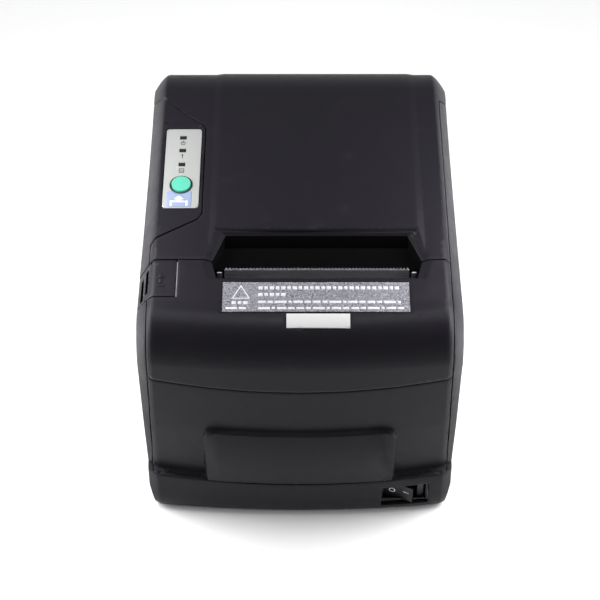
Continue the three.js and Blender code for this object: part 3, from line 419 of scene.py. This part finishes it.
PAPER = printed_film("label_paper", (0.56, 0.56, 0.555), (0.4, 0.55), 1400)
BLADE = sheet_metal("blade_sheet", (0.5, 0.5, 0.54), (0.42, 0.58))
FOIL = speckled_foil("foil_sticker")
BOARD = circuit_board("circuit_lacquer")
INK = printed_film("black_ink", (0.012, 0.012, 0.013), (0.45, 0.6))
PALE_INK = printed_film("pale_ink", (0.55, 0.55, 0.59), (0.45, 0.6))
BLUE_INK = printed_film("blue_grey_ink", (0.2, 0.245, 0.37), (0.4, 0.55))
WHITE_INK = printed_film("white_ink", (0.78, 0.8, 0.82), (0.4, 0.55))


def finish(piece, look):
    piece.data.materials.clear()
    piece.data.materials.append(look)


# ---------------------------------------------------------------- casing
COVER_FACE = tree_of(envelope(0), plateau())
BUTTON_FACE = tree_of(envelope(0.1))
LABEL_FACE = tree_of(envelope(0.3))
STICKER_FACE = tree_of(envelope(0.02))
EDGE_ROUNDING = 0.28
SMOOTH_ANGLE = 35

shells = []
for node, body, tree, reach in (
    ("lower_case", "case", FACE, 0.6),
    ("front_panel", "case", FACE, 0.6),
    ("cutter_cover", "front_cover", FACE, 0.35),  # the floor of its sticker pockets stays as it is
    ("paper_cover", "lid", COVER_FACE, 0.6),
    ("open_button", "open_key", BUTTON_FACE, 0.6),
):
    shell = refined(node, body, tree, reach=reach)
    round_shell(shell, EDGE_ROUNDING, SMOOTH_ANGLE)
    finish(shell, CASE)
    shells.append(shell)


def inside_mouth(centre):
    """True in the throat of the paper exit, under its chamfer, where the casing faces take painted
    shade.
    """
    x, y, z = centre / MM
    chamfer_foot = 124.2 + (y - EXIT_FRONT) * 0.132
    return -56 < y < -24 and abs(x - PATH_X) < 50 and z < chamfer_foot


# The faces in the throat of the paper exit take the near-black material as painted shade, standing for
# the shadow deep in the mouth.
for shell in shells:
    shell.data.materials.append(DARK_AND_PAINTED_SHADE)
    for face in shell.data.polygons:
        if inside_mouth(face.center):
            face.material_index = 1

for node, body, tree, look, slot_name in (
    ("panel_label", "case", LABEL_FACE, FILM, "panel_film"),
    ("silver_label", "front_cover", STICKER_FACE, FOIL, "foil_label"),
    ("white_label", "front_cover", STICKER_FACE, PAPER, "white_label"),
):
    skin = refined(node, body, tree, finest=2.0, reach=0.2)
    shade(skin, SMOOTH_ANGLE)
    finish(skin, look)


# ---------------------------------------------------------------- marks printed on the surfaces
DOWN = Vector((0, 0, -1))
ABOVE = 150  # height from which flat outlines are laid on the top of the printer


def drape(name, shapes, body, look, tree, lift=0.03, thick=0.04):
    """Thin ink or relief: outlines drawn in plan, laid from above on a surface."""
    bm = bmesh.new()
    for outline in shapes:
        bm.faces.new([bm.verts.new(Vector((x, y, ABOVE)) * MM) for x, y in outline])
    bmesh.ops.triangulate(bm, faces=bm.faces)
    subdivide(bm, 1.2)
    for vert in bm.verts:
        place, normal, _, _ = tree.ray_cast(vert.co - DOWN * 0.05, DOWN)
        if place is not None:
            outward = normal if normal.dot(DOWN) < 0 else -normal
            vert.co = place + outward * lift * MM
    bmesh.ops.recalc_face_normals(bm, faces=bm.faces)
    if sum(face.normal.dot(DOWN) for face in bm.faces) > 0:
        bmesh.ops.reverse_faces(bm, faces=bm.faces)
    piece = new_object(name, bm)
    solid = piece.modifiers.new("ink_thickness", "SOLIDIFY")
    solid.thickness = thick * MM
    solid.offset = 1
    shade(piece, 50)
    finish(piece, look)
    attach(piece, body)
    return piece


def rectangle(x0, x1, y0, y1):
    return [(x0, y0), (x1, y0), (x1, y1), (x0, y1)]


def ring(x, y, inner, outer, count=40):
    """Quads of a ring."""
    quads = []
    for i in range(count):
        a, b = (2 * math.pi * k / count for k in (i, i + 1))
        corners = ((inner, a), (outer, a), (outer, b), (inner, b))
        quads.append([(x + r * math.cos(t), y + r * math.sin(t)) for r, t in corners])
    return quads


def frame_of(x0, x1, y0, y1, width):
    """The four sides of a rectangular frame."""
    return [rectangle(x0, x1, y0, y0 + width), rectangle(x0, x1, y1 - width, y1),
            rectangle(x0, x0 + width, y0 + width, y1 - width),
            rectangle(x1 - width, x1, y0 + width, y1 - width)]


LAMP_X = -55.1
LAMPS = (30.6, 22.4, 13.6)
BUTTON = {"x": -54.9, "y": 1.1, "radius": 4.4}
FEED_SIGN = {"x": -55.5, "y0": -12.0, "y1": -4.6, "half": 5.7}


def bars_at(x, places, half_wide, half_high):
    return [rectangle(x - half_wide, x + half_wide, y - half_high, y + half_high) for y in places]


def panel_signs():
    """Generic pictograms under the three lamps: a mains sign, a bar with a dot, a sheet of paper."""
    power, fault, paper = LAMPS
    signs = ring(LAMP_X, power - 3.6, 0.85, 1.15, 24)
    signs += bars_at(LAMP_X, [power - 2.9], 0.15, 0.8)
    signs += bars_at(LAMP_X, [fault - 3.25], 0.25, 0.85)
    signs += bars_at(LAMP_X, [fault - 4.65], 0.25, 0.25)
    signs += frame_of(LAMP_X - 1.2, LAMP_X + 1.2, paper - 5.2, paper - 2.6, 0.28)
    signs += bars_at(LAMP_X, [paper - 3.575, paper - 4.275], 0.6, 0.125)
    return signs


def feed_patch():
    """The coloured patch below the feed button, hollowed round the button's outline."""
    x, y0, y1, half = (FEED_SIGN[key] for key in ("x", "y0", "y1", "half"))
    cut = BUTTON["radius"] + 1.0
    start, end, steps = 214, 326, 16
    arch = arc(BUTTON["x"], BUTTON["y"], cut, start, end, steps)
    return [(x + half, y0), (x + half, y1 + 1.4), *reversed([p for p in arch if p[1] < y1 + 2.2]),
            (x - half, y1 + 1.4), (x - half, y0)]


def feed_arrow():
    """An arrow that rises out of a tray."""
    x = FEED_SIGN["x"]
    return [
        [(x - 2.3, -7.6), (x + 2.3, -7.6), (x, -5.4)],
        rectangle(x - 1.0, x + 1.0, -8.6, -7.6),
        rectangle(x - 4.0, x - 3.1, -11.4, -8.4),
        rectangle(x + 3.1, x + 4.0, -11.4, -8.4),
        rectangle(x - 3.1, x + 3.1, -9.3, -8.6),
    ]


def print_line(x0, x1, y, lengths, high, gap=0.8):
    """Bars of changing length, as words in a line of print."""
    line = []
    left = x0
    index = 0
    while left + lengths[index % len(lengths)] <= x1:
        right = left + lengths[index % len(lengths)]
        line.append(rectangle(left, right, y - high / 2, y + high / 2))
        left = right + gap
        index += 1
    return line


def sticker_print():
    """The foil sticker: plain bars where lines of print would be, and a bare triangle."""
    signs = (1.9, 1.5)
    words = (3.4, 2.2, 5.2, 1.4, 4.1, 2.8)
    left = -18.3
    marks = print_line(left, 45.5, -57.3, signs, 1.7)
    marks += print_line(left, -5.0, -60.8, signs, 1.7)
    marks += print_line(left, 47.0, -64.6, words, 1.3)
    marks += print_line(left, 46.5, -68.2, words[2:] + words[:2], 1.3)
    marks += print_line(-30.0, -22.0, -65.0, signs, 1.6, 0.9)
    marks += print_line(-32.5, -20.5, -68.2, (5.0, 3.2), 1.3)
    corners = [(-30.1, -62.9), (-21.9, -62.9), (-26.0, -55.7)]
    centre = [sum(values) / 3 for values in zip(*corners)]
    inner = [[c + (value - c) * 0.8 for c, value in zip(centre, corner)] for corner in corners]
    for i in range(3):
        j = (i + 1) % 3
        marks.append([corners[i], corners[j], inner[j], inner[i]])
    return marks


def open_arrow():
    """A raised arrow over a bar on the open button."""
    x = -61.6
    return [
        [(x - 2.0, -52.0), (x + 2.0, -52.0), (x, -49.0)],
        rectangle(x - 0.7, x + 0.7, -54.6, -52.0),
        rectangle(x - 2.0, x + 2.0, -56.4, -55.6),
    ]


button_ring = ring(BUTTON["x"], BUTTON["y"], BUTTON["radius"] + 0.42, BUTTON["radius"] + 1.0)
drape("panel_signs", panel_signs(), "case", INK, LABEL_FACE)
drape("feed_outline", button_ring, "case", INK, LABEL_FACE)
drape("feed_patch", [feed_patch()], "case", BLUE_INK, LABEL_FACE, lift=0.01)
drape("feed_arrow", feed_arrow(), "case", WHITE_INK, LABEL_FACE, lift=0.06)
drape("sticker_bars", sticker_print(), "front_cover", PALE_INK, STICKER_FACE,
      lift=0.0, thick=0.015)
drape("open_arrow", open_arrow(), "open_key", CASE, BUTTON_FACE, lift=-0.02, thick=0.14)

# ---------------------------------------------------------------- power switch marks
ROCKER_LEFT = (40.6, -86.0)  # the two front faces of the rocker in plan meet at its middle
ROCKER_MIDDLE = (47.4, -87.6)
ROCKER_RIGHT = (53.8, -90.6)
ROCKER_HEIGHT = 12.7


def on_rocker(name, shapes, start, end):
    """Marks on the rocker's left or right face, which runs between two points in plan."""
    bm = bmesh.new()
    way = Vector((end[0] - start[0], end[1] - start[1], 0)).normalized()
    outward = Vector((way.y, -way.x, 0))
    middle = Vector(((start[0] + end[0]) / 2, (start[1] + end[1]) / 2, ROCKER_HEIGHT)) + outward * 0.03
    for outline in shapes:
        bm.faces.new([bm.verts.new((middle + way * u + Vector((0, 0, v))) * MM) for u, v in outline])
    bmesh.ops.recalc_face_normals(bm, faces=bm.faces)
    piece = new_object(name, bm)
    solid = piece.modifiers.new("ink_thickness", "SOLIDIFY")
    solid.thickness = 0.05 * MM
    solid.offset = 0
    finish(piece, WHITE_INK)
    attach(piece, "rocker")


on_rocker("switch_off_mark", ring(0.3, -0.2, 1.15, 1.55, 28), ROCKER_LEFT, ROCKER_MIDDLE)
on_rocker("switch_on_mark", [rectangle(-1.2, 1.6, 0.55, 0.95)], ROCKER_MIDDLE, ROCKER_RIGHT)

# ---------------------------------------------------------------- sockets
SOCKETS = {  # middle along X and Z, width and height of the mouth
    "power_socket": (-48, 16.2, 9.6, 9.6),
    "drawer_socket": (-24, 16.0, 9.8, 7.4),
    "lan_socket": (2, 16.7, 11.8, 8.0),
    "usb_socket": (30, 15.4, 8.6, 7.8),
}
SOCKET_BACK = 82.05
SOCKET_MOUTH = 92.5


def boxes(name, body, look, extents, rounding=0.0):
    """One piece of separate blocks, each from its low to its high corner."""
    bm = bmesh.new()
    for low, high in extents:
        made = bmesh.ops.create_cube(bm, size=1)
        centre = (Vector(low) + Vector(high)) / 2
        size = Vector(high) - Vector(low)
        for vert in made["verts"]:
            vert.co = Vector([centre[k] + vert.co[k] * size[k] for k in range(3)]) * MM
    piece = new_object(name, bm)
    if rounding:
        round_edges(piece, rounding, 30)
    finish(piece, look)
    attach(piece, body)
    return piece


def socket_liner(name):
    """The thin metal sleeve inside a socket's mouth."""
    x, z, wide, high = SOCKETS[name]
    skin = 0.25
    left, right, low, top = x - wide / 2, x + wide / 2, z - high / 2, z + high / 2
    y0, y1 = SOCKET_BACK, SOCKET_MOUTH
    boxes(name + "_liner", "case", BRIGHT, [
        ((left, y0, low), (left + skin, y1, top)),
        ((right - skin, y0, low), (right, y1, top)),
        ((left + skin, y0, low), (right - skin, y1, low + skin)),
        ((left + skin, y0, top - skin), (right - skin, y1, top)),
    ])


def contact_row(name, count):
    """A row of flat springs along the top of a socket."""
    x, z, _, high = SOCKETS[name]
    pitch, half, reach = 1.02, 0.2, 5.0
    row = []
    for i in range(count):
        px = x + (i - (count - 1) / 2) * pitch
        row.append(((px - half, SOCKET_BACK, z + high / 2 - 1.6),
                    (px + half, SOCKET_BACK + reach, z + high / 2 - 1.2)))
    return row


def power_pins():
    x, z, _, _ = SOCKETS["power_socket"]
    half = 0.7
    return [((x + px - half, SOCKET_BACK, z + pz - half), (x + px + half, 90.0, z + pz + half))
            for px, pz in ((-2.4, -1.8), (2.4, -1.8), (0, 2.2))]


def usb_tongue():
    x, z, _, _ = SOCKETS["usb_socket"]
    half_wide, half_high = 2.6, 1.6
    return [((x - half_wide, SOCKET_BACK, z - half_high), (x + half_wide, 91.0, z + half_high))]


socket_liner("lan_socket")
socket_liner("usb_socket")
contacts = contact_row("drawer_socket", 6) + contact_row("lan_socket", 8) + power_pins()
boxes("socket_contacts", "case", BRIGHT, contacts)
boxes("usb_tongue", "case", NYLON, usb_tongue(), 0.3)

# ---------------------------------------------------------------- CAD nodes that keep their shape
LOOKS = (
    (STEEL, "bottom_plate base_screw_front_left base_screw_front_right base_screw_rear_left "
            "base_screw_rear_right open_button_spring mech_frame head_heatsink head_spring_left "
            "head_spring_right cutter_plate platen_bracket latch_hook_left latch_hook_right"),
    (BLADE, "tear_blade"),
    (BRIGHT, "fixed_blade cutter_blade platen_shaft latch_shaft idler_axle "
             "cutter_wheel_axle hinge_shaft motor_pinion"),
    (RUBBER, "foot_front_left foot_front_right foot_rear_left foot_rear_right platen_roller"),
    (NYLON, "platen_bush_left platen_bush_right platen_gear idler_gear cutter_gear cutter_hand_wheel"),
    (GREEN, "feed_button"),
    (SMOKED, "lamp_power lamp_error lamp_paper"),
    (BOARD, "panel_board main_board"),
    (SWITCH_PLASTIC, "switch_housing power_rocker"),
    (DARK_AND_PAINTED_SHADE, "feed_switch thermal_head feed_motor cutter_motor paper_bucket power_socket "
           "drawer_socket lan_socket usb_socket"),
)
for look, names in LOOKS:
    for node in names.split():
        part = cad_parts[node]
        part.data.materials.clear()
        part.data.materials.append(look)
        shade(part, 32)
for node, width in (
    ("power_rocker", 0.35),
    ("switch_housing", 0.2),
    ("feed_button", 0.35),
    ("mech_frame", 0.15),
):
    round_edges(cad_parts[node], width, 32)

# ---------------------------------------------------------------- floor, light and camera
def studio_floor():
    bm = bmesh.new()
    bmesh.ops.create_grid(bm, x_segments=1, y_segments=1, size=3.0)
    floor = new_object("studio_floor", bm)
    look, _, _, shader, _ = material("studio_paper")
    shader.inputs["Base Color"].default_value = (0.95, 0.95, 0.955, 1)
    shader.inputs["Roughness"].default_value = 0.9
    floor.data.materials.append(look)


studio_floor()

LOOKING_DOWN = 48.6  # degrees below the horizon
camera_data = bpy.data.cameras.new("camera")
camera_data.lens = 95.16
camera_data.sensor_width = 36
camera_data.clip_start = 0.01
camera = bpy.data.objects.new("camera", camera_data)
camera.location = (0, -0.5231, 0.6454)
camera.rotation_euler = (math.radians(90 - LOOKING_DOWN), 0, 0)
bpy.context.scene.collection.objects.link(camera)
bpy.context.scene.camera = camera


def softbox(name, place, target, size, power):
    """A rectangular lamp aimed at a point."""
    data = bpy.data.lights.new(name, "AREA")
    data.shape = "RECTANGLE"
    data.size, data.size_y = size
    data.energy = power
    lamp = bpy.data.objects.new(name, data)
    bpy.context.scene.collection.objects.link(lamp)
    lamp.location = place
    lamp.rotation_euler = (Vector(target) - Vector(place)).to_track_quat("-Z", "Y").to_euler()


softbox("overhead", (0, 0.0, 1.3), (0, 0, 0), (0.5, 0.3), 4.5)
for side in (-1, 1):
    softbox(f"wall_{side}", (1.1 * side, 0.0, 0.7), (0.1 * side, 0, 0.02), (1.3, 0.7), 5.5)
    # low lamps brighten the floor beside the printer, which the shoulders mirror
    softbox(f"floor_wash_{side}", (0.25 * side, -0.02, 0.12), (0.19 * side, -0.02, 0), (0.1, 0.36), 0.9)

world = bpy.data.worlds.new("studio")
bpy.context.scene.world = world
world.use_nodes = True
sky = world.node_tree
direction = sky.nodes.new("ShaderNodeTexCoord")


def fading(toward, first, last, away, near):
    """A brightness that changes smoothly with the angle to a direction."""
    dot = sky.nodes.new("ShaderNodeVectorMath")
    dot.operation = "DOT_PRODUCT"
    dot.inputs[1].default_value = toward
    sky.links.new(direction.outputs["Generated"], dot.inputs[0])
    fall = sky.nodes.new("ShaderNodeMapRange")
    fall.interpolation_type = "SMOOTHSTEP"
    fall.inputs["From Min"].default_value = first
    fall.inputs["From Max"].default_value = last
    fall.inputs["To Min"].default_value = away
    fall.inputs["To Max"].default_value = near
    sky.links.new(dot.outputs["Value"], fall.inputs["Value"])
    return fall.outputs["Result"]


# the studio is dark in front and above, and light at the horizon
front = fading((0, -0.66, 0.75), 0.5, 0.95, 0.8, 0.08)
zenith = fading((0, 0, 1), 0.15, 0.7, 1.0, 0.6)
product = sky.nodes.new("ShaderNodeMath")
product.operation = "MULTIPLY"
sky.links.new(front, product.inputs[0])
sky.links.new(zenith, product.inputs[1])
background = sky.nodes["Background"]
background.inputs["Color"].default_value = (1, 1, 1, 1)
sky.links.new(product.outputs[0], background.inputs["Strength"])
bpy.context.scene.view_settings.view_transform = "Standard"
